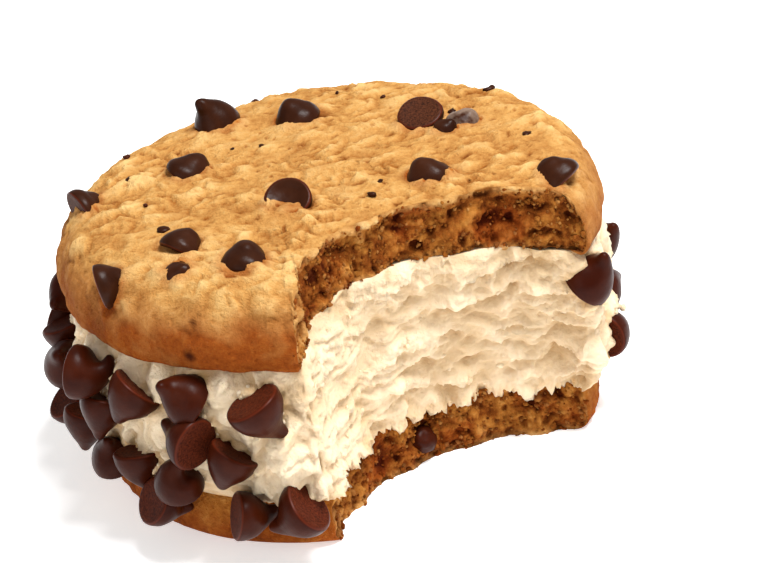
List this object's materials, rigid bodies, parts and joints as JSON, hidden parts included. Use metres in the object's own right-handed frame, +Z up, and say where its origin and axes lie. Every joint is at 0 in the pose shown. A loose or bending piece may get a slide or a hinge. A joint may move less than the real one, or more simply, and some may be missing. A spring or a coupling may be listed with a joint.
{
  "type": "ice cream sandwich",
  "caption": "Ice cream sandwich: chocolate chip cookies round a thick band of vanilla ice cream, its side set with chocolate chips, with a bite taken out.",
  "frame": {"origin": "middle of the lower cookie's flat base", "axes": "+Z up through the stack of layers; the bite is in the -Y side, towards +X"},
  "size_m": [0.0942, 0.0945, 0.0494],
  "materials": {
    "cookie_lower": "baked cookie crust and crumb, matt and rough",
    "cookie_upper": "baked cookie crust and crumb, matt and rough, golden on top",
    "ice_cream": "frozen vanilla ice cream, soft satin",
    "chocolate": "dark chocolate, satin"
  },
  "bodies": {
    "root": {"back_chip_01": "chocolate", "back_chip_02": "chocolate", "back_chip_03": "chocolate", "back_chip_04": "chocolate", "back_chip_05": "chocolate", "back_chip_06": "chocolate", "back_chip_07": "chocolate", "back_chip_08": "chocolate", "back_chip_09": "chocolate", "back_chip_10": "chocolate", "back_chip_11": "chocolate", "back_chip_12": "chocolate", "back_chip_13": "chocolate", "back_chip_14": "chocolate", "back_chip_15": "chocolate", "back_chip_16": "chocolate", "back_chip_17": "chocolate", "back_chip_18": "chocolate", "bitten_chip_lower": "chocolate", "bitten_chip_upper": "chocolate", "cookie_lower": "cookie_lower", "cookie_upper": "cookie_upper", "ice_cream": "ice_cream", "side_chip_01": "chocolate", "side_chip_02": "chocolate", "side_chip_03": "chocolate", "side_chip_04": "chocolate", "side_chip_05": "chocolate", "side_chip_06": "chocolate", "side_chip_07": "chocolate", "side_chip_08": "chocolate", "side_chip_09": "chocolate", "side_chip_10": "chocolate", "side_chip_11": "chocolate", "side_chip_12": "chocolate", "side_chip_13": "chocolate", "side_chip_14": "chocolate", "side_chip_15": "chocolate", "side_chip_16": "chocolate", "side_chip_17": "chocolate", "side_chip_18": "chocolate", "side_chip_19": "chocolate", "side_chip_20": "chocolate", "side_chip_21": "chocolate", "side_chip_22": "chocolate", "side_chip_23": "chocolate", "top_chip_01": "chocolate", "top_chip_02": "chocolate", "top_chip_03": "chocolate", "top_chip_04": "chocolate", "top_chip_05": "chocolate", "top_chip_06": "chocolate", "top_chip_07": "chocolate", "top_chip_08": "chocolate", "top_chip_09": "chocolate", "top_chip_10": "chocolate", "top_chip_11": "chocolate", "top_chip_12": "chocolate", "top_chip_13": "chocolate", "top_chip_14": "chocolate"}
  },
  "joints": []
}
